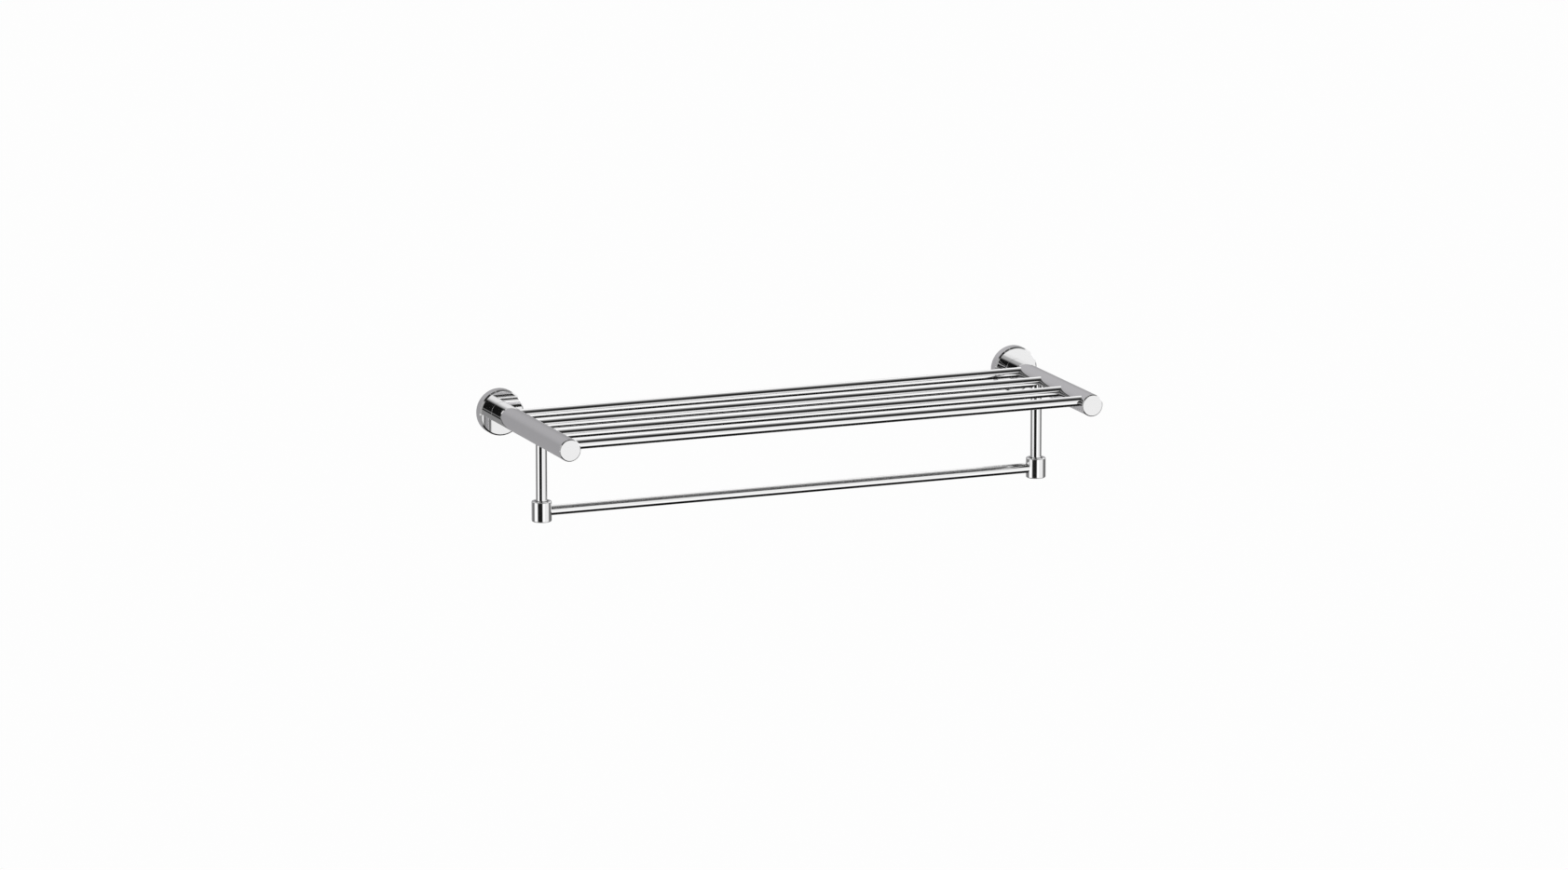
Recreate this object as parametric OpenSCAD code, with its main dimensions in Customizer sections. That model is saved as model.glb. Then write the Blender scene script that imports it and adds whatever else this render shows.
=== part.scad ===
// Wall-mounted towel rack: four shelf rods between two arms, with a towel bar hung below.
// Units are millimetres. X runs along the rods, the wall is the plane y = 0 with the rack on
// the -Y side, Z is up, and z = 0 is the height of the arm axes.

/* [Overall] */
// Distance between the two arm axes, and so between the wall plates.
arm_spacing = 600; // [400:10:900]
// Distance from the wall to the front face of the arm end caps.
arm_reach = 217; // [215:1:260]

/* [Rosettes and wall plates] */
// Outside diameter of the round cover against the wall.
rosette_d = 50; // [48:1:64]
// Depth of the round cover, from the wall to its front face.
rosette_depth = 12; // [12:0.5:16]
// Thickness of the cover's rim and of its front face.
rosette_wall = 2; // [1.5:0.1:2.5]
// Bevel on the front edge of the cover.
rosette_bevel = 1.6; // [0.4:0.1:1.8]
// Thickness of the wall plate inside the cover.
plate_t = 5; // [4.5:0.1:5.5]
// Diameter of the opening in the middle of the wall plate.
plate_opening_d = 16; // [14:0.5:18]
// Diameter of each wall screw hole.
screw_hole_d = 5; // [4:0.1:5.5]
// Vertical distance between the two wall screw holes of one plate.
screw_hole_spacing = 30; // [28:0.5:31]

/* [Arms] */
// Outside diameter of the arm tube.
arm_d = 24; // [22:0.5:28]
// Wall thickness of the arm tube.
arm_wall = 1.5; // [1.2:0.1:2]
// Thickness of the visible part of the arm end cap.
cap_t = 3; // [2.5:0.1:3.5]
// Bevel on the front edge of the arm end cap.
cap_bevel = 1; // [0.3:0.1:1.5]

/* [Shelf rods] */
// Outside diameter of the shelf rods.
rod_d = 11; // [9:0.5:12]
// Wall thickness of the shelf rods.
rod_wall = 1; // [0.8:0.1:1.5]
// Distance from the wall to the axis of the first rod.
rod_first = 42; // [40:0.5:46]
// Distance from one rod axis to the next.
rod_pitch = 54; // [46:0.5:54]
// Height of the rod axes above the arm axes.
rod_lift = 3.5; // [2:0.1:4]

/* [Hanging towel bar] */
// Outside diameter of the hanger posts.
post_d = 12; // [12:0.5:14]
// Wall thickness of the hanger posts.
post_wall = 1.2; // [1:0.1:2]
// Distance of each post axis inward from the arm axis.
post_inset = 13; // [12.5:0.5:20]
// Distance from the arm axes down to the towel bar axis.
bar_drop = 91; // [70:1:130]
// Outside diameter of the towel bar.
bar_d = 11; // [9:0.5:11]
// Wall thickness of the towel bar.
bar_wall = 1; // [0.8:0.1:1.5]
// Outside diameter of the sockets that hold the towel bar.
socket_d = 21.5; // [20:0.5:24]
// Height of the sockets.
socket_h = 22; // [22:0.5:28]
// Edge radius of the sockets.
socket_r = 1; // [0.5:0.1:1.5]
// Depth of the post's seat in the top of each socket.
seat_depth = 5; // [4:0.1:5]
// Bevel round the mouth of the post's seat.
seat_bevel = 1.4; // [0.4:0.1:1.8]

/* [Hidden] */
$fn = 96;
// Gap left for the braze or solder film between two joined pieces.
film = 0.03;
// Radial clearance between a screw shank and its threaded hole.
thread_gap = 0.05;

arm_x = arm_spacing / 2;
arm_start = rosette_depth;
arm_end = arm_reach - cap_t;
arm_bore_d = arm_d - 2 * arm_wall;

// The hanger posts stand under the second rod from the wall.
post_x = arm_x - post_inset;
post_y = rod_first + rod_pitch;
post_top = rod_lift - 2;
socket_bottom = -bar_drop - socket_h / 2;
socket_top = socket_bottom + socket_h;
post_bottom = socket_top - seat_depth;

plate_d = rosette_d - 2 * rosette_wall - 1;
countersink_d = screw_hole_d * 1.9;

insert_len = 14;
screw_d = 6;
screw_len = 14;
screw_head_d = 10.5;
screw_head_h = 3.3;
washer_d = 12.5;
washer_t = 1.2;
hex_key = 4;

rosette_grub_d = 3;
rosette_grub_len = 4;
socket_grub_d = 4;
socket_grub_len = 5;

cap_spigot_len = 2.4;

// Colours of the metals.
CHROME = [0.86, 0.87, 0.88];
ZINC = [0.62, 0.64, 0.66];
BRASS = [0.80, 0.66, 0.36];
STEEL = [0.55, 0.56, 0.58];

// side is -1 for the left end of the rack and 1 for the right end.

// Turns a shape built upward from z = 0 into one that starts on the wall at an arm axis.
module on_wall(side) {
  translate([side * arm_x, 0, 0])
    rotate([90, 0, 0])
      children();
}

// A cylinder along Y, from distance y0 to distance y1 in front of the wall.
module along_y(d, y0, y1) {
  translate([0, -y0, 0])
    rotate([90, 0, 0])
      cylinder(d = d, h = y1 - y0);
}

// A cylinder along X, centred on x = 0.
module along_x(d, length) {
  rotate([0, 90, 0])
    cylinder(d = d, h = length, center = true);
}

// Half of a round bar's section with rounded outer corners, for turning about its axis.
module turned_profile(d, h, r) {
  polygon([
    [0, 0],
    [d / 2 - r, 0],
    [d / 2 - r, r],
    [d / 2, r],
    [d / 2, h - r],
    [d / 2 - r, h - r],
    [d / 2 - r, h],
    [0, h]
  ]);
  for (y = [r, h - r])
    translate([d / 2 - r, y])
      circle(r = r);
}

// Plate that is screwed to the wall, with two countersunk screw holes above each other.
module wall_plate(side) {
  color(ZINC)
    on_wall(side)
      difference() {
        cylinder(d = plate_d, h = plate_t);
        translate([0, 0, -1])
          cylinder(d = plate_opening_d, h = plate_t + 2);
        for (s = [-1, 1])
          translate([0, s * screw_hole_spacing / 2, 0]) {
            translate([0, 0, -1])
              cylinder(d = screw_hole_d, h = plate_t + 2);
            translate([0, 0, plate_t - (countersink_d - screw_hole_d) / 2])
              cylinder(d1 = screw_hole_d, d2 = countersink_d + 0.02,
                h = (countersink_d - screw_hole_d) / 2 + 0.01);
          }
        // Dimple in the lower edge for the rosette's set screw.
        translate([0, -plate_d / 2 - 1, plate_t / 2])
          rotate([-90, 0, 0])
            cylinder(d = rosette_grub_d + 2 * thread_gap, h = 1 + 2.6);
      }
}

// Round cover that hides the wall plate and carries the arm on its front face.
module rosette(side) {
  color(CHROME)
    on_wall(side)
      difference() {
        rotate_extrude()
          polygon([
            [0, 0],
            [rosette_d / 2, 0],
            [rosette_d / 2, rosette_depth - rosette_bevel],
            [rosette_d / 2 - rosette_bevel, rosette_depth],
            [0, rosette_depth]
          ]);
        translate([0, 0, -1])
          cylinder(d = rosette_d - 2 * rosette_wall,
            h = rosette_depth - rosette_wall + 1);
        cylinder(d = screw_d + 0.6, h = rosette_depth + 1);
        // Threaded hole for the set screw, in the underside of the rim.
        translate([0, -rosette_d / 2 - 1, plate_t / 2])
          rotate([-90, 0, 0])
            cylinder(d = rosette_grub_d + 2 * thread_gap, h = rosette_wall + 2);
      }
}

// Headless screw built upward from z = 0, with a hexagon recess in its lower end.
module grub(d, length, key) {
  difference() {
    cylinder(d = d, h = length);
    translate([0, 0, -0.01])
      cylinder(d = key / cos(30), h = length * 0.4, $fn = 6);
  }
}

// Set screw that draws the rosette onto the wall plate, from below.
module rosette_set_screw(side) {
  color(STEEL)
    translate([side * arm_x, -plate_t / 2, -rosette_d / 2 + 0.4])
      grub(rosette_grub_d, rosette_grub_len, 1.5);
}

// Round tube arm, open at the front, with a hole in its inner side for each rod.
module arm(side) {
  color(CHROME)
    difference() {
      translate([side * arm_x, 0, 0])
        difference() {
          along_y(arm_d, arm_start, arm_end);
          along_y(arm_bore_d, arm_start - 1, arm_end + 1);
        }
      for (i = [0:3])
        translate([side * (arm_x - arm_d), -(rod_first + i * rod_pitch), rod_lift])
          along_x(rod_d + 2 * film, 2 * arm_d);
    }
}

// Threaded insert brazed into the rear end of the arm.
module arm_insert(side) {
  color(BRASS)
    on_wall(side)
      translate([0, 0, arm_start])
        difference() {
          cylinder(d = arm_bore_d - 2 * film, h = insert_len);
          translate([0, 0, -1])
            cylinder(d = screw_d + 2 * thread_gap, h = insert_len + 2);
        }
}

// Washer between the arm screw's head and the inside of the rosette.
module arm_washer(side) {
  color(STEEL)
    on_wall(side)
      translate([0, 0, rosette_depth - rosette_wall - washer_t])
        difference() {
          cylinder(d = washer_d, h = washer_t);
          translate([0, 0, -1])
            cylinder(d = screw_d + 0.4, h = washer_t + 2);
        }
}

// Screw that clamps the rosette to the arm from inside the cover.
module arm_screw(side) {
  head_base = rosette_depth - rosette_wall - washer_t;
  color(STEEL)
    on_wall(side)
      difference() {
        union() {
          translate([0, 0, head_base - screw_head_h])
            cylinder(d = screw_head_d, h = screw_head_h);
          translate([0, 0, head_base - 0.5])
            cylinder(d = screw_d, h = screw_len + 0.5);
        }
        translate([0, 0, head_base - screw_head_h - 0.01])
          cylinder(d = hex_key / cos(30), h = 2.2, $fn = 6);
      }
}

// Cap that closes the front end of the arm.
module arm_end_cap(side) {
  color(CHROME)
    on_wall(side)
      translate([0, 0, arm_end - cap_spigot_len]) {
        cylinder(d = arm_bore_d - 2 * film, h = cap_spigot_len + 0.5);
        translate([0, 0, cap_spigot_len])
          rotate_extrude()
            polygon([
              [0, 0],
              [arm_d / 2, 0],
              [arm_d / 2, cap_t - cap_bevel],
              [arm_d / 2 - cap_bevel, cap_t],
              [0, cap_t]
            ]);
      }
}

// Shelf rod number i, counted from 0 at the wall. Its ends lie inside the two arms.
module shelf_rod(i) {
  color(CHROME)
    translate([0, -(rod_first + i * rod_pitch), rod_lift])
      difference() {
        along_x(rod_d, arm_spacing);
        along_x(rod_d - 2 * rod_wall, arm_spacing + 2);
      }
}

// Tube that hangs from the second rod, coped to fit that rod and the arm beside it.
module hanger_post(side) {
  color(CHROME)
    difference() {
      translate([side * post_x, -post_y, post_bottom])
        difference() {
          cylinder(d = post_d, h = post_top - post_bottom);
          translate([0, 0, -1])
            cylinder(d = post_d - 2 * post_wall, h = post_top - post_bottom + 2);
        }
      translate([side * post_x, -post_y, rod_lift])
        along_x(rod_d + 2 * film, 3 * post_d);
      translate([side * arm_x, 0, 0])
        along_y(arm_d + 2 * film, arm_start, arm_end);
    }
}

// Turned socket that joins the post to the towel bar.
module bar_socket(side) {
  color(CHROME)
    translate([side * post_x, -post_y, socket_bottom])
      difference() {
        rotate_extrude()
          turned_profile(socket_d, socket_h, socket_r);
        translate([0, 0, socket_h - seat_depth - film])
          cylinder(d = post_d + 2 * film, h = seat_depth + 1);
        translate([0, 0, socket_h - seat_bevel])
          cylinder(d1 = post_d + 2 * film, d2 = post_d + 2 * film + 2 * seat_bevel + 0.02,
            h = seat_bevel + 0.01);
        // Blind bore for the towel bar, from the inner side.
        translate([side * 5.5, 0, socket_h / 2])
          rotate([0, -side * 90, 0])
            cylinder(d = bar_d + 2 * thread_gap, h = socket_d);
        // Threaded hole for the set screw, on the side that faces the wall.
        translate([0, 0, socket_h / 2])
          rotate([-90, 0, 0])
            cylinder(d = socket_grub_d + 2 * thread_gap, h = socket_d);
      }
}

// Set screw that holds the towel bar in its socket, driven from the wall side.
module socket_set_screw(side) {
  color(STEEL)
    translate([side * post_x, -post_y + bar_d / 2 + socket_grub_len, -bar_drop])
      rotate([90, 0, 0])
        grub(socket_grub_d, socket_grub_len - 0.02, 2);
}

// Round towel bar between the two sockets.
module towel_bar() {
  color(CHROME)
    translate([0, -post_y, -bar_drop])
      difference() {
        along_x(bar_d, 2 * post_x + 10);
        along_x(bar_d - 2 * bar_wall, 2 * post_x + 12);
      }
}

module left_wall_plate() { wall_plate(-1); }
module right_wall_plate() { wall_plate(1); }
module left_rosette() { rosette(-1); }
module right_rosette() { rosette(1); }
module left_rosette_set_screw() { rosette_set_screw(-1); }
module right_rosette_set_screw() { rosette_set_screw(1); }
module left_arm() { arm(-1); }
module right_arm() { arm(1); }
module left_arm_insert() { arm_insert(-1); }
module right_arm_insert() { arm_insert(1); }
module left_arm_washer() { arm_washer(-1); }
module right_arm_washer() { arm_washer(1); }
module left_arm_screw() { arm_screw(-1); }
module right_arm_screw() { arm_screw(1); }
module left_arm_end_cap() { arm_end_cap(-1); }
module right_arm_end_cap() { arm_end_cap(1); }
module shelf_rod_1() { shelf_rod(0); }
module shelf_rod_2() { shelf_rod(1); }
module shelf_rod_3() { shelf_rod(2); }
module shelf_rod_4() { shelf_rod(3); }
module left_hanger_post() { hanger_post(-1); }
module right_hanger_post() { hanger_post(1); }
module left_bar_socket() { bar_socket(-1); }
module right_bar_socket() { bar_socket(1); }
module left_socket_set_screw() { socket_set_screw(-1); }
module right_socket_set_screw() { socket_set_screw(1); }

left_wall_plate();
right_wall_plate();
left_rosette();
right_rosette();
left_rosette_set_screw();
right_rosette_set_screw();
left_arm();
right_arm();
left_arm_insert();
right_arm_insert();
left_arm_washer();
right_arm_washer();
left_arm_screw();
right_arm_screw();
left_arm_end_cap();
right_arm_end_cap();
shelf_rod_1();
shelf_rod_2();
shelf_rod_3();
shelf_rod_4();
left_hanger_post();
right_hanger_post();
left_bar_socket();
right_bar_socket();
left_socket_set_screw();
right_socket_set_screw();
towel_bar();
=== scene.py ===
"""Towel rack: polished chrome shelf with a hanging towel bar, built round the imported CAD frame.

Units are metres. X runs along the rods, +Y points to the wall, Z is up.

The outer pieces are turned surfaces with exact normals, and each stands for its CAD node. The inner
pieces are the CAD nodes with materials. The studio is painted by direction in the world, because
polished chrome shows almost nothing but what it reflects.
"""
import math

import bmesh
import bpy
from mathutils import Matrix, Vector


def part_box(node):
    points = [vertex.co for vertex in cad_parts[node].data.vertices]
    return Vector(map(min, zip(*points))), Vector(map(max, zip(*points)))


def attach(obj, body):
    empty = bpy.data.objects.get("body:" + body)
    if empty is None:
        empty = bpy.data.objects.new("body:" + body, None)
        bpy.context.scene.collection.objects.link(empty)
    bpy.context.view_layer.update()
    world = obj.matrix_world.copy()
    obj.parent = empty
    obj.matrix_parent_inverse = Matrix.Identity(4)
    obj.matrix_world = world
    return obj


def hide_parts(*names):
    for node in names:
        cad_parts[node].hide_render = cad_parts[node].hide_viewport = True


MM = 0.001

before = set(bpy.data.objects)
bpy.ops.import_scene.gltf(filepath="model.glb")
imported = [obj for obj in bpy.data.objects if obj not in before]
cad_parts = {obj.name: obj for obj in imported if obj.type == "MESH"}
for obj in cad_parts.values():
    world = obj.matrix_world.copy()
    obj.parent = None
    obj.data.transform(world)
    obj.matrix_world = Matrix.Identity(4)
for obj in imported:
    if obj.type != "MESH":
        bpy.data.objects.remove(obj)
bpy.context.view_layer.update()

# ---------------------------------------------------------------- shader nodes


def feed(tree, value, socket):
    """Links another socket to this one, or sets it to a number or a colour."""
    if isinstance(value, bpy.types.NodeSocket):
        tree.links.new(value, socket)
    else:
        socket.default_value = value


def math_node(tree, operation, a, b, clamp=False):
    """One operation on two values, each a number or a socket."""
    n = tree.nodes.new("ShaderNodeMath")
    n.operation = operation
    n.use_clamp = clamp
    feed(tree, a, n.inputs[0])
    feed(tree, b, n.inputs[1])
    return n.outputs[0]


def ramp(tree, value, start, end):
    """0 up to start and 1 from end on."""
    n = tree.nodes.new("ShaderNodeValToRGB")
    low, high = n.color_ramp.elements
    low.position, high.position = start, end
    low.color, high.color = (0, 0, 0, 1), (1, 1, 1, 1)
    tree.links.new(value, n.inputs["Fac"])
    return n.outputs["Color"]


def noise(tree, per_metre, detail, roughness):
    """Noise with so many features per metre along the piece's X, Y and Z."""
    place = tree.nodes.new("ShaderNodeTexCoord")
    scaled = tree.nodes.new("ShaderNodeMapping")
    scaled.inputs["Scale"].default_value = per_metre
    tree.links.new(place.outputs["Object"], scaled.inputs["Vector"])
    n = tree.nodes.new("ShaderNodeTexNoise")
    n.inputs["Scale"].default_value = 1.0
    n.inputs["Detail"].default_value = detail
    n.inputs["Roughness"].default_value = roughness
    tree.links.new(scaled.outputs["Vector"], n.inputs["Vector"])
    return n.outputs["Fac"]


def new_material(name):
    """An empty material: the material, its node tree and its output."""
    material = bpy.data.materials.new(name)
    material.use_nodes = True
    tree = material.node_tree
    tree.nodes.clear()
    return material, tree, tree.nodes.new("ShaderNodeOutputMaterial")


def metallic(name):
    """A metal: the material, its node tree and its shader."""
    material, tree, output = new_material(name)
    shader = tree.nodes.new("ShaderNodeBsdfPrincipled")
    shader.inputs["Metallic"].default_value = 1.0
    tree.links.new(shader.outputs["BSDF"], output.inputs["Surface"])
    return material, tree, shader


def mix(tree, kind, factor, a, b):
    """a where the factor is 0 and b where it is 1. kind is RGBA or FLOAT."""
    n = tree.nodes.new("ShaderNodeMix")
    n.data_type = kind
    feed(tree, factor, n.inputs["Factor"])
    feed(tree, a, n.inputs["A"])
    feed(tree, b, n.inputs["B"])
    return n.outputs["Result"]


def relief(tree, shader, height, strength, distance):
    """Bump of a height pattern on the whole shader."""
    bump = tree.nodes.new("ShaderNodeBump")
    bump.inputs["Strength"].default_value = strength
    bump.inputs["Distance"].default_value = distance
    tree.links.new(height, bump.inputs["Height"])
    tree.links.new(bump.outputs["Normal"], shader.inputs["Normal"])


# ---------------------------------------------------------------- materials

CHROME_CLEAN = (0.915, 0.912, 0.913)
CHROME_FILMED = (0.883, 0.883, 0.887)  # under a film of handling
CHROME_ROUGHNESS = 0.03
MARKS_ROUGHNESS = 0.022  # what buffing marks add to it at the most
SMUDGES_ROUGHNESS = 0.030  # and what smudges add
BUFFING = {"X": (900, 60, 60), "Y": (60, 900, 60), "Z": (60, 60, 900)}  # marks per metre
GRAIN_ROUGHNESS = 0.12  # what the grain of a plain metal adds to its roughness at the most
STAIN_SHADE = 0.78  # share of its colour that a stain leaves


def chrome(name, along):
    """Polished chrome plate on a piece that runs along one axis: the buffing marks run across it."""
    material, tree, shader = metallic(name)
    marks = noise(tree, BUFFING[along], detail=4.0, roughness=0.6)
    film = noise(tree, (55, 55, 55), detail=3.0, roughness=0.55)
    smudges = noise(tree, (16, 16, 16), detail=2.0, roughness=0.5)
    rough = math_node(tree, "MULTIPLY", ramp(tree, smudges, 0.45, 0.75), SMUDGES_ROUGHNESS)
    rough = math_node(tree, "ADD", rough, math_node(tree, "MULTIPLY", marks, MARKS_ROUGHNESS))
    rough = math_node(tree, "ADD", rough, CHROME_ROUGHNESS)
    tree.links.new(rough, shader.inputs["Roughness"])
    colour = mix(tree, "RGBA", film, (*CHROME_CLEAN, 1), (*CHROME_FILMED, 1))
    tree.links.new(colour, shader.inputs["Base Color"])
    relief(tree, shader, smudges, strength=0.05, distance=0.01 * MM)
    return material


def metal(name, clean, roughness, grain):
    """Metal without a plating, with a grain of so many lines per metre and small stains."""
    material, tree, shader = metallic(name)
    lines = noise(tree, grain, detail=5.0, roughness=0.6)
    stains = noise(tree, (120, 120, 120), detail=4.0, roughness=0.6)
    rough = math_node(tree, "ADD", math_node(tree, "MULTIPLY", lines, GRAIN_ROUGHNESS), roughness)
    tree.links.new(rough, shader.inputs["Roughness"])
    stained = [c * STAIN_SHADE for c in clean]
    colour = mix(tree, "RGBA", ramp(tree, stains, 0.35, 0.8), (*clean, 1), (*stained, 1))
    tree.links.new(colour, shader.inputs["Base Color"])
    relief(tree, shader, lines, strength=0.15, distance=0.05 * MM)
    return material


CHROME_X = chrome("chrome_rods", "X")
CHROME_Y = chrome("chrome_arms", "Y")
CHROME_Z = chrome("chrome_posts", "Z")
PLATE = metal("plate_steel", (0.62, 0.63, 0.65), 0.28, (900, 30, 40))
SCREW = metal("screw_steel", (0.56, 0.57, 0.59), 0.24, (500, 500, 500))
# bore of the post's seat: unplated steel, made this dark as painted shade in the narrow gap round the post
SEAT_BORE_SHADE = metal("seat_unplated_painted_shade", (0.13, 0.13, 0.135), 0.42, (300, 300, 300))
BRASS = metal("brass_insert", (0.80, 0.66, 0.36), 0.25, (500, 500, 500))

# ---------------------------------------------------------------- outlines of turned pieces
# An outline is a list of points (r, h, nr, nh): distance from the axis, height along it, and the
# direction of the surface there.


def arc(cr, ch, radius, a0, a1, steps):
    """Round stretch about (cr, ch), from angle a0 to a1 in degrees: 0 points away from the axis and
    90 along it."""
    points = []
    for i in range(steps + 1):
        a = math.radians(a0 + (a1 - a0) * i / steps)
        c, s = math.cos(a), math.sin(a)
        points.append((cr + radius * c, ch + radius * s, c, s))
    return points


def inner_arc(cr, ch, radius, a0, a1, steps):
    """The same stretch with its surface facing the centre."""
    return [(r, h, -nr, -nh) for r, h, nr, nh in arc(cr, ch, radius, a0, a1, steps)]


def line(r0, h0, r1, h1, nr, nh, steps=1):
    """Straight stretch in equal steps."""
    return [(r0 + (r1 - r0) * i / steps, h0 + (h1 - h0) * i / steps, nr, nh) for i in range(steps + 1)]


EASE = 0.12 * MM  # radius at the edges of a bevel
SLANT = math.sqrt(0.5)  # sine and cosine of a bevel's 45 degrees


def bevelled(r, h, size):
    """45 degree bevel at the corner (r, h), with both its edges eased."""
    k = EASE * math.tan(math.radians(22.5))
    return arc(r - EASE, h - size - k, EASE, 0, 45, 4) + arc(r - size - k, h - EASE, EASE, 45, 90, 4)


HOLE_PATCH = 1.25  # half size of the patch round a hole, as a share of the hole's radius


def wall_with_patch(r, h0, h1, centre, radius):
    """Straight wall from h0 to h1 with close rows round a hole's centre."""
    reach = HOLE_PATCH * radius
    wall = line(r, h0, r, centre - reach, 1, 0, 2)
    wall += line(r, centre - reach, r, centre + reach, 1, 0, 10)
    return wall + line(r, centre + reach, r, h1, 1, 0, 3)


# ---------------------------------------------------------------- turned pieces

TINY = 1e-7  # points closer than this are one point
TO_RIGHT = (1, 0, 0)
TO_FRONT = (0, -1, 0)
UP = (0, 0, 1)


def drill(add, rings, profile, origin, axis, u, v, hole):
    """Blind round hole in the straight wall of a turned piece. Returns the new faces and the cells
    of the turned grid that they take the place of."""
    turn, h0, radius, depth = hole
    reach = HOLE_PATCH * radius
    rows = [i for i, q in enumerate(profile) if q[2] == 1 and abs(q[1] - h0) <= reach + TINY]
    first, last = rows[0], rows[-1]
    wall_r = profile[first][0]
    count = len(rings[first])
    cell_turn = 360.0 / count
    spread = math.degrees(math.asin(reach / wall_r))
    k0, k1 = math.floor((turn - spread) / cell_turn), math.ceil((turn + spread) / cell_turn)
    border = [(first, k) for k in range(k0, k1)] + [(i, k1) for i in range(first, last)]
    border += [(last, k) for k in range(k1, k0, -1)] + [(i, k0) for i in range(last, first, -1)]
    mid = math.radians(turn)
    out = u * math.cos(mid) + v * math.sin(mid)
    across = axis.cross(out)
    spokes = []
    for i, k in border:
        vert = rings[i][k % count]
        if any((vert.co - done[0].co).length < TINY for done in spokes[:1] + spokes[-1:]):
            continue
        local = vert.co - Vector(origin)
        a = math.atan2(local.dot(axis) - h0, local.dot(across))
        x, y = radius * math.cos(a), radius * math.sin(a)
        foot = Vector(origin) + across * x + axis * (h0 + y)
        mouth_r = math.sqrt(wall_r**2 - x**2)
        mouth = foot + out * mouth_r
        bottom = foot + out * (wall_r - depth)
        outward = across * x + out * mouth_r
        inward = -(across * x + axis * y)
        spokes.append((vert, add(mouth, outward), add(mouth, inward), add(bottom, inward)))
    faces = []
    for a, b in zip(spokes, spokes[1:] + spokes[:1]):
        faces.append((a[0], b[0], b[1], a[1]))
        faces.append((a[2], b[2], b[3], a[3]))
    cells = {(i, k % count) for i in range(first, last) for k in range(k0, k1)}
    return faces, cells


def cell_corners(a, b, k, segments):
    """Corners of the k-th cell between the rings a and b, or None where it has no area."""
    j = (k + 1) % segments
    if len(a) == 1 and len(b) == 1:
        return None
    if len(a) == 1:
        return a[0], b[j], b[k]
    if len(b) == 1:
        return a[k], a[j], b[0]
    if (a[k].co - b[k].co).length < TINY:
        return None
    return a[k], a[j], b[j], b[k]


def turned(name, profile, origin, axis, material, segments, hole=None, inner=None):
    """Surface of revolution of an outline round an axis. hole is (turn, h, radius, depth). inner is
    (row, material): from that row of the outline on the second material is used."""
    axis = Vector(axis).normalized()
    side = Vector((0, 0, 1)) if abs(axis.z) < 0.9 else Vector((1, 0, 0))
    u = axis.cross(side).normalized()
    v = axis.cross(u)
    bm = bmesh.new()
    normal_of = {}

    def add(place, normal):
        vert = bm.verts.new(place)
        normal_of[vert] = normal.normalized()
        return vert

    rings = []
    for r, h, nr, nh in profile:
        on_axis = r < TINY
        ring = []
        for k in range(1 if on_axis else segments):
            a = 2 * math.pi * k / segments
            d = u * math.cos(a) + v * math.sin(a)
            ring.append(add(Vector(origin) + axis * h + d * r, axis * nh if on_axis else d * nr + axis * nh))
        rings.append(ring)
    faces, cells = drill(add, rings, profile, origin, axis, u, v, hole) if hole else ([], set())
    for corners in faces:
        bm.faces.new(corners)
    for row, (a, b) in enumerate(zip(rings, rings[1:])):
        for k in range(segments):
            corners = cell_corners(a, b, k, segments)
            if corners is None or (row, k) in cells:
                continue
            face = bm.faces.new(corners)
            if inner and row >= inner[0]:
                face.material_index = 1
    for vert in [w for w in bm.verts if not w.link_faces]:
        del normal_of[vert]
        bm.verts.remove(vert)
    normals = [normal_of[vert] for vert in bm.verts]
    mesh = bpy.data.meshes.new(name)
    bm.to_mesh(mesh)
    bm.free()
    mesh.polygons.foreach_set("use_smooth", [True] * len(mesh.polygons))
    mesh.normals_split_custom_set_from_vertices(normals)
    mesh.materials.append(material)
    if inner:
        mesh.materials.append(inner[1])
    piece = bpy.data.objects.new(name, mesh)
    bpy.context.scene.collection.objects.link(piece)
    return piece


def stand_for(piece, node):
    """The piece is shown in place of its CAD node."""
    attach(piece, "root")
    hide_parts(node)


def node_box(name):
    lo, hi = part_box(name)
    return Vector(lo), Vector(hi)


# ---------------------------------------------------------------- arms, caps and rosettes

ARM_SEGMENTS = 192
ARM_WALL = 1.5 * MM
ARM_EDGE = 0.35 * MM
CAP_BEVEL = 1.0 * MM
ROSETTE_BEVEL = 1.6 * MM
ROSETTE_WALL = 2.0 * MM
ROSETTE_BACK_EDGE = 0.3 * MM
ROSETTE_INNER_CORNER = 0.5 * MM
ROSETTE_SCREW_R = 3.3 * MM
ROSETTE_HOLE_H = 2.5 * MM
ROSETTE_HOLE_R = 1.55 * MM
FACE_MARGIN = 0.3 * MM  # how far from a bevel the rows of a flat face begin
WALL_MARGIN = 0.5 * MM  # how far from a bevel the rows of a wall end
DOWN = 90  # turn of a hole that looks straight down from a rosette's rim


def arm_tube(side):
    """One straight tube, from the rosette's face to the end cap."""
    lo, hi = node_box(f"{side}_arm")
    r = (hi.x - lo.x) / 2
    profile = [(r - ARM_WALL, 0, 0, -1), (r - ARM_EDGE, 0, 0, -1)]
    profile += arc(r - ARM_EDGE, ARM_EDGE, ARM_EDGE, -90, 0, 4)
    profile += line(r, ARM_EDGE, r, hi.y - lo.y, 1, 0, 24)
    origin = ((lo.x + hi.x) / 2, hi.y, (lo.z + hi.z) / 2)
    stand_for(turned(f"{side}_arm_tube", profile, origin, TO_FRONT, CHROME_Y, ARM_SEGMENTS), f"{side}_arm")


def arm_cap(side):
    """Flat disc with a fine bevel that closes the front of the arm."""
    lo, hi = node_box(f"{side}_arm")
    front = node_box(f"{side}_arm_end_cap")[0].y
    r = (hi.x - lo.x) / 2
    thick = lo.y - front
    profile = [(r, 0, 1, 0)] + bevelled(r, thick, CAP_BEVEL)
    profile += line(r - CAP_BEVEL - FACE_MARGIN, thick, 0, thick, 0, 1, 4)
    origin = ((lo.x + hi.x) / 2, lo.y, (lo.z + hi.z) / 2)
    cap = turned(f"{side}_arm_cap", profile, origin, TO_FRONT, CHROME_Y, ARM_SEGMENTS)
    stand_for(cap, f"{side}_arm_end_cap")


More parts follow.
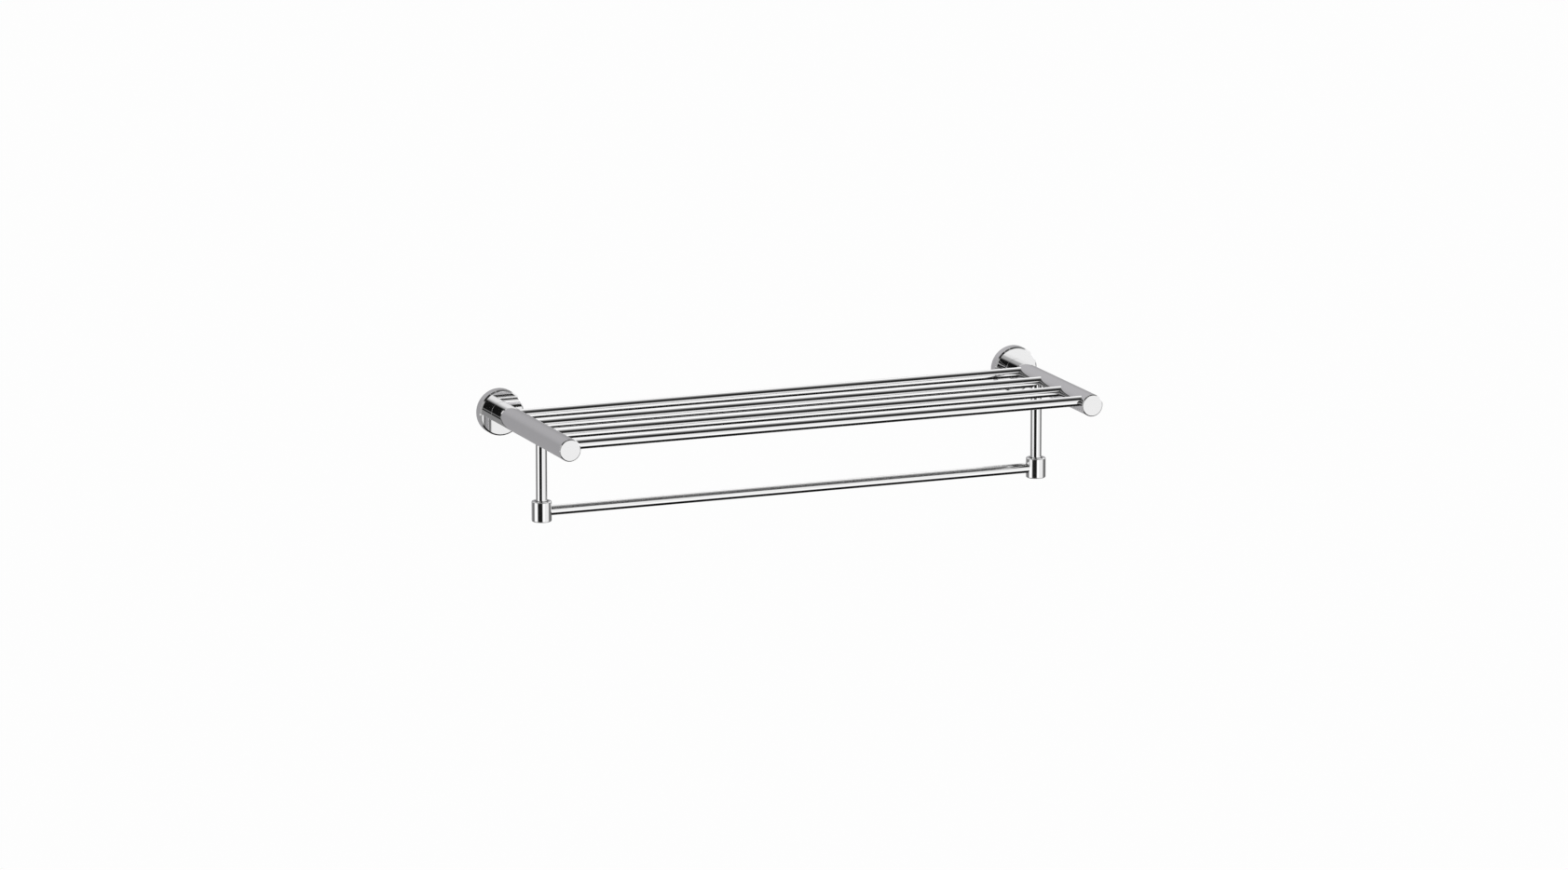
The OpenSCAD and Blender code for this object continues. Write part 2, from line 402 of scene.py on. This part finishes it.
def rosette_cup(side):
    """Round cover, hollow at the back, with a bevelled front edge and a set-screw hole below."""
    arm_lo, arm_hi = node_box(f"{side}_arm")
    lo, hi = node_box(f"{side}_rosette")
    r = (hi.x - lo.x) / 2
    depth = hi.y - lo.y
    inner_r = r - ROSETTE_WALL
    floor_h = depth - ROSETTE_WALL
    corner = ROSETTE_INNER_CORNER
    edge_r = ROSETTE_BACK_EDGE
    profile = [(ROSETTE_SCREW_R, floor_h, 0, -1)]
    profile += line(ROSETTE_SCREW_R, floor_h, inner_r - corner, floor_h, 0, -1, 2)
    profile += inner_arc(inner_r - corner, floor_h - corner, corner, 90, 0, 4)
    profile += line(inner_r, floor_h - corner, inner_r, edge_r, -1, 0, 2)
    profile += [(inner_r + edge_r, 0, 0, -1), (r - edge_r, 0, 0, -1)]
    profile += arc(r - edge_r, edge_r, edge_r, -90, 0, 4)
    wall_end = depth - ROSETTE_BEVEL - WALL_MARGIN
    profile += wall_with_patch(r, edge_r, wall_end, ROSETTE_HOLE_H, ROSETTE_HOLE_R)
    profile += bevelled(r, depth, ROSETTE_BEVEL)
    profile += line(r - ROSETTE_BEVEL - FACE_MARGIN, depth, ROSETTE_SCREW_R, depth, 0, 1, 6)
    origin = ((arm_lo.x + arm_hi.x) / 2, hi.y, (arm_lo.z + arm_hi.z) / 2)
    cup = turned(f"{side}_rosette_cup", profile, origin, TO_FRONT, CHROME_Y, ARM_SEGMENTS,
                 hole=(DOWN, ROSETTE_HOLE_H, ROSETTE_HOLE_R, ROSETTE_WALL))
    stand_for(cup, f"{side}_rosette")


# ---------------------------------------------------------------- rods and towel bar

ROD_SEGMENTS = 128


def rod_tube(node):
    """Straight tube along X, a shelf rod or the towel bar."""
    lo, hi = node_box(node)
    r = (hi.z - lo.z) / 2
    profile = line(r, 0, r, hi.x - lo.x, 1, 0, 60)
    origin = (lo.x, (lo.y + hi.y) / 2, (lo.z + hi.z) / 2)
    stand_for(turned(f"{node}_tube", profile, origin, TO_RIGHT, CHROME_X, ROD_SEGMENTS), node)


# ---------------------------------------------------------------- hanger posts and sockets

POST_SEGMENTS = 128
POST_WALL = 1.2 * MM
POST_EDGE = 0.2 * MM
POST_MOUTH = 4 * MM  # how far the inside of a post is drawn
SOCKET_SEGMENTS = 160
SOCKET_EDGE = 1.0 * MM
SOCKET_HOLE_R = 2.05 * MM
SOCKET_HOLE_DEPTH = 5 * MM
SEAT_BEVEL = 1.4 * MM
SEAT_PLAY = 0.05 * MM
SEAT_DEPTH = 2.5 * MM  # how far down the seat is drawn
TO_WALL = 0  # turn of a hole that looks to the wall from a socket


def post_radius(side):
    lo, hi = node_box(f"{side}_hanger_post")
    return (hi.y - lo.y) / 2


def post_tube(side):
    """Upright tube on the socket's axis."""
    socket_lo, socket_hi = node_box(f"{side}_bar_socket")
    lo, hi = node_box(f"{side}_hanger_post")
    r = post_radius(side)
    h = hi.z - lo.z
    profile = line(r, 0, r, h - POST_EDGE, 1, 0, 20)
    profile += arc(r - POST_EDGE, h - POST_EDGE, POST_EDGE, 0, 90, 3)
    profile += line(r - POST_EDGE, h, r - POST_WALL, h, 0, 1)
    profile += line(r - POST_WALL, h, r - POST_WALL, h - POST_MOUTH, -1, 0)
    origin = ((socket_lo.x + socket_hi.x) / 2, (socket_lo.y + socket_hi.y) / 2, lo.z)
    post = turned(f"{side}_post_tube", profile, origin, UP, CHROME_Z, POST_SEGMENTS)
    stand_for(post, f"{side}_hanger_post")


def socket_body(side):
    """Short cylinder with a bevelled seat for the post and a set-screw hole at the wall side."""
    lo, hi = node_box(f"{side}_bar_socket")
    r = (hi.x - lo.x) / 2
    h = hi.z - lo.z
    seat_r = post_radius(side) + SEAT_PLAY
    mouth_r = post_radius(side) + SEAT_BEVEL
    profile = line(0, 0, r - SOCKET_EDGE, 0, 0, -1, 4)
    profile += arc(r - SOCKET_EDGE, SOCKET_EDGE, SOCKET_EDGE, -90, 0, 8)
    profile += wall_with_patch(r, SOCKET_EDGE, h - SOCKET_EDGE, h / 2, SOCKET_HOLE_R)
    profile += arc(r - SOCKET_EDGE, h - SOCKET_EDGE, SOCKET_EDGE, 0, 90, 8)
    profile += line(r - SOCKET_EDGE, h, mouth_r + EASE, h, 0, 1, 3)
    profile += arc(mouth_r + EASE, h - EASE, EASE, 90, 135, 3)
    # from this row down the seat's bore takes the dark material, which is painted shade in the gap round the
    # post
    seat_row = len(profile)
    profile += line(mouth_r, h - EASE, seat_r, h - SEAT_BEVEL, -SLANT, SLANT, 2)
    profile += line(seat_r, h - SEAT_BEVEL, seat_r, h - SEAT_DEPTH, -1, 0, 2)
    origin = ((lo.x + hi.x) / 2, (lo.y + hi.y) / 2, lo.z)
    body = turned(f"{side}_socket_body", profile, origin, UP, CHROME_Z, SOCKET_SEGMENTS,
                  hole=(TO_WALL, h / 2, SOCKET_HOLE_R, SOCKET_HOLE_DEPTH), inner=(seat_row, SEAT_BORE_SHADE))
    stand_for(body, f"{side}_bar_socket")


# ---------------------------------------------------------------- the whole rack

SIDES = ("left", "right")
KEPT = {  # CAD pieces that stay as they are, with their material
    "wall_plate": PLATE,
    "rosette_set_screw": SCREW,
    "arm_insert": BRASS,
    "arm_washer": SCREW,
    "arm_screw": SCREW,
    "socket_set_screw": SCREW,
}

for side in SIDES:
    arm_tube(side)
    arm_cap(side)
    rosette_cup(side)
for rod in range(1, 5):
    rod_tube(f"shelf_rod_{rod}")
rod_tube("towel_bar")
for side in SIDES:
    post_tube(side)
    socket_body(side)
for side in SIDES:
    for part, material in KEPT.items():
        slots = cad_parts[f"{side}_{part}"].data.materials
        slots.clear()
        slots.append(material)

# ---------------------------------------------------------------- camera

CAMERA_YAW = math.radians(22.208)
CAMERA_PITCH = math.radians(12.225)
CAMERA_DISTANCE = 10.0
CAMERA_AIM = Vector((-0.009644, -0.09887, -0.030524))  # what the middle of the picture shows
CAMERA_REACH = (0.5, 60.0)  # the nearest and farthest distance that it shows
SENSOR_WIDTH = 36.0
IMAGE_WIDTH = 1683.0
FOCAL_LENGTH = 10000.0  # in the unit of the image's width


def add_camera():
    level = math.cos(CAMERA_PITCH)
    forward = Vector((math.sin(CAMERA_YAW) * level, math.cos(CAMERA_YAW) * level, -math.sin(CAMERA_PITCH)))
    data = bpy.data.cameras.new("camera")
    data.sensor_width = SENSOR_WIDTH
    data.lens = SENSOR_WIDTH * FOCAL_LENGTH / IMAGE_WIDTH
    data.clip_start, data.clip_end = CAMERA_REACH
    camera = bpy.data.objects.new("camera", data)
    camera.location = CAMERA_AIM - forward * CAMERA_DISTANCE
    camera.rotation_mode = "QUATERNION"
    camera.rotation_quaternion = forward.to_track_quat("-Z", "Y")
    bpy.context.scene.collection.objects.link(camera)
    bpy.context.scene.camera = camera


add_camera()

# ---------------------------------------------------------------- floor

FLOOR_BELOW = 1.6  # the usual mounting height
FLOOR_RADIUS = 3.5
FLOOR_FADE = (1.4, 3.4)  # radii between which the floor fades out
FLOOR_GREY = 0.86


def floor_material():
    """Pale matt floor that turns clear towards its rim."""
    material, tree, output = new_material("floor_pale")
    shader = tree.nodes.new("ShaderNodeBsdfPrincipled")
    shader.inputs["Base Color"].default_value = (FLOOR_GREY, FLOOR_GREY, FLOOR_GREY, 1)
    shader.inputs["Roughness"].default_value = 0.8
    shader.inputs["Specular IOR Level"].default_value = 0.1
    clear = tree.nodes.new("ShaderNodeBsdfTransparent")
    place = tree.nodes.new("ShaderNodeTexCoord")
    radius = tree.nodes.new("ShaderNodeVectorMath")
    radius.operation = "LENGTH"
    tree.links.new(place.outputs["Object"], radius.inputs[0])
    fade = tree.nodes.new("ShaderNodeMapRange")
    fade.interpolation_type = "SMOOTHSTEP"
    fade.inputs["From Min"].default_value, fade.inputs["From Max"].default_value = FLOOR_FADE
    tree.links.new(radius.outputs["Value"], fade.inputs["Value"])
    both = tree.nodes.new("ShaderNodeMixShader")
    tree.links.new(fade.outputs["Result"], both.inputs["Fac"])
    tree.links.new(shader.outputs["BSDF"], both.inputs[1])
    tree.links.new(clear.outputs["BSDF"], both.inputs[2])
    tree.links.new(both.outputs["Shader"], output.inputs["Surface"])
    return material


def add_floor():
    mesh = bpy.data.meshes.new("floor")
    bm = bmesh.new()
    bmesh.ops.create_circle(bm, cap_ends=True, segments=96, radius=FLOOR_RADIUS)
    bm.to_mesh(mesh)
    bm.free()
    mesh.materials.append(floor_material())
    floor = bpy.data.objects.new("floor", mesh)
    floor.location = (0, 0, -FLOOR_BELOW)
    floor.visible_glossy = False
    bpy.context.scene.collection.objects.link(floor)


add_floor()

# ---------------------------------------------------------------- studio
# The surroundings are painted by direction: white cards, a grey zone behind and a few dark gaps.
# X, Y and Z are the direction's parts. The angles are in degrees.

world = bpy.data.worlds.new("studio")
world.use_nodes = True
world_tree = world.node_tree
world_tree.nodes.clear()
direction = world_tree.nodes.new("ShaderNodeTexCoord").outputs["Generated"]
parts = world_tree.nodes.new("ShaderNodeSeparateXYZ")
world_tree.links.new(direction, parts.inputs[0])
X, Y, Z = parts.outputs


def joined(a, b):
    """Mask of what either of two masks covers."""
    return math_node(world_tree, "ADD", a, b, clamp=True)


def times(first, *others):
    """Product of masks or numbers."""
    out = first
    for value in others:
        out = math_node(world_tree, "MULTIPLY", out, value)
    return out


def angle(a, b):
    """Angle whose sine and cosine go as a and b, in degrees, -180 to 180."""
    return times(math_node(world_tree, "ARCTAN2", a, b), math.degrees(1))


BACK_ANGLE = angle(X, Y)  # level, from straight behind the rack towards +X
FRONT_ANGLE = angle(X, times(Y, -1.0))  # level, from straight ahead of the rack towards +X
ROLL = angle(Z, times(Y, -1.0))  # about the X axis: 0 ahead, 90 up, -90 down


def step(value, lo, hi, at_lo, at_hi, interpolation="SMOOTHSTEP"):
    """at_lo up to lo and at_hi from hi on."""
    n = world_tree.nodes.new("ShaderNodeMapRange")
    n.interpolation_type = interpolation
    n.inputs["From Min"].default_value, n.inputs["From Max"].default_value = lo, hi
    n.inputs["To Min"].default_value, n.inputs["To Max"].default_value = at_lo, at_hi
    world_tree.links.new(value, n.inputs["Value"])
    return n.outputs["Result"]


def rise(value, start, full):
    """0 up to start, 1 from full on."""
    return step(value, start, full, 0.0, 1.0)


def fall(value, last, end):
    """1 up to last, 0 from end on."""
    return step(value, last, end, 1.0, 0.0)


def band(value, start, full, last, end):
    """1 between full and last, 0 outside start and end."""
    return times(rise(value, start, full), fall(value, last, end))


def paint(under, mask, level):
    """Brightness level over what is under it, as far as the mask goes."""
    return mix(world_tree, "FLOAT", mask, under, level)


def white_cards(sky):
    """Light ceiling, and brighter cards at the left, straight ahead, low in front and high behind."""
    sky = paint(sky, rise(Z, 0.2, 0.6), 1.0)
    sky = paint(sky, times(band(BACK_ANGLE, -124, -112, -66, -56), band(Z, -0.6, -0.45, 0.2, 0.4)), 1.12)
    sky = paint(sky, times(band(FRONT_ANGLE, -8, -2, 11, 17), band(Z, -0.4, -0.3, 0.0, 0.1)), 1.15)
    sky = paint(sky, band(ROLL, -62, -50, -26, -20), 1.12)
    return paint(sky, band(ROLL, 112, 124, 166, 176), 1.2)


def ceiling_gap(sky):
    """Dark gap between the ceiling and the front card, which fades up into the ceiling. It is darker
    towards both ends of the rack."""
    gap = times(rise(ROLL, 20, 31), step(ROLL, 70, 132, 1.0, 0.0, "LINEAR"))
    sky = paint(sky, times(gap, band(X, -0.05, 0.08, 0.75, 0.85)), 0.02)
    sky = paint(sky, times(gap, band(X, -0.36, -0.26, -0.05, 0.08)), 0.10)
    return paint(sky, times(gap, band(X, -0.85, -0.75, -0.36, -0.26)), 0.02)


def floor_cloth(sky):
    """Dark cloth right under the rack."""
    return paint(sky, times(band(ROLL, -154, -142, -57, -48), fall(Z, -0.40, -0.30)), 0.01)


def camera_gap(sky):
    """Narrow dark gap between grey cards where the camera stands, and a darker one above it."""
    low = times(band(FRONT_ANGLE, -56, -44, 14, 22), band(Z, -0.8, -0.7, -0.28, -0.26))
    high = times(band(FRONT_ANGLE, -56, -44, -14, -4), band(Z, -0.17, -0.15, 0.7, 0.8))
    gap = times(band(FRONT_ANGLE, -76, -58, -15, -5), band(Z, -0.28, -0.26, -0.17, -0.15))
    gap_above = times(band(FRONT_ANGLE, -42, -34, -10, 8), band(Z, -0.14, -0.10, 0.38, 0.46))
    sky = paint(sky, low, 0.28)
    sky = paint(sky, high, 0.26)
    sky = paint(sky, gap, 0.012)
    return paint(sky, gap_above, 0.008)


def cards_behind_left(sky):
    """Dark cards high and low behind the left end, which the mirror images of the rods show."""
    strip = band(X, -0.52, -0.46, -0.30, -0.24)
    sky = paint(sky, times(strip, band(ROLL, 80, 95, 158, 165)), 0.02)
    return paint(sky, times(strip, band(ROLL, -168, -162, -120, -100)), 0.01)


def far_horizons(sky):
    """A horizon far out at both sides, so that rods seen nearly from their ends aren't plain white."""
    left = times(fall(X, -0.92, -0.88), rise(Y, -0.33, -0.25))
    right = times(rise(X, 0.88, 0.92), fall(Y, 0.03, 0.07))
    sides = joined(left, right)
    sky = paint(sky, times(sides, band(Z, -0.15, -0.11, 0.02, 0.06)), 0.42)
    return paint(sky, times(sides, band(Z, -0.01, 0.02, 0.07, 0.17)), 0.05)


GREY_ZONE = rise(Y, 0.862, 0.880)  # straight behind the rack


def grey_zone(sky):
    """Grey behind the rack, lighter high up and towards its border."""
    tone = paint(0.355, rise(Z, 0.12, 0.42), 0.43)
    return paint(sky, GREY_ZONE, times(tone, paint(1.0, fall(Y, 0.898, 0.911), 1.12)))


def side_card(sky):
    """Grey card at the left, which the bevels show, open at the height of the posts' reflections."""
    card = band(FRONT_ANGLE, -80, -74, -56, -50)
    sky = paint(sky, times(card, band(Z, -0.19, -0.16, 0.5, 0.6)), 0.40)
    return paint(sky, times(card, band(Z, -0.80, -0.70, -0.265, -0.235)), 0.34)


def small_light(sky):
    """Small white card behind, which only the mirrored rods in the left rosette show."""
    card = times(rise(Y, 0.5, 0.6), band(X, 0.31, 0.325, 0.366, 0.378), band(Z, -0.17, -0.14, 0.11, 0.14))
    return paint(sky, card, 1.0)


def zone_ends(sky):
    """Darker ends of the grey zone, low down at both sides, and dark flanks over the horizon."""
    ends = joined(band(BACK_ANGLE, -84, -62, -34, -24), band(BACK_ANGLE, 28, 42, 100, 128))
    sky = paint(sky, times(ends, band(Z, -0.42, -0.32, -0.12, -0.02)), 0.18)
    flanks = joined(band(BACK_ANGLE, -84, -70, -31, -27), band(BACK_ANGLE, 27, 31, 68, 76))
    return paint(sky, times(flanks, band(Z, 0.08, 0.12, 0.30, 0.36)), 0.01)


WALLS = 0.93
NEUTRAL = (1, 1, 1, 1)
VIOLET = (1.004, 0.991, 1.022, 1)  # the grey zone's slight tint
BACKDROP = (0.985, 0.985, 0.985, 1)


def add_studio():
    sky = WALLS
    for layer in (white_cards, ceiling_gap, floor_cloth, camera_gap, cards_behind_left, far_horizons,
                  grey_zone, side_card, small_light, zone_ends):
        sky = layer(sky)
    tinted = world_tree.nodes.new("ShaderNodeVectorMath")
    tinted.operation = "SCALE"
    world_tree.links.new(mix(world_tree, "RGBA", GREY_ZONE, NEUTRAL, VIOLET), tinted.inputs[0])
    world_tree.links.new(sky, tinted.inputs["Scale"])
    # the backdrop that shows past the rack is plain white, and so is the light on the floor
    path = world_tree.nodes.new("ShaderNodeLightPath")
    plain = joined(path.outputs["Is Camera Ray"], path.outputs["Is Diffuse Ray"])
    seen = mix(world_tree, "RGBA", plain, tinted.outputs["Vector"], BACKDROP)
    background = world_tree.nodes.new("ShaderNodeBackground")
    world_tree.links.new(seen, background.inputs["Color"])
    output = world_tree.nodes.new("ShaderNodeOutputWorld")
    world_tree.links.new(background.outputs["Background"], output.inputs["Surface"])
    bpy.context.scene.world = world
    bpy.context.scene.view_settings.view_transform = "Standard"


add_studio()
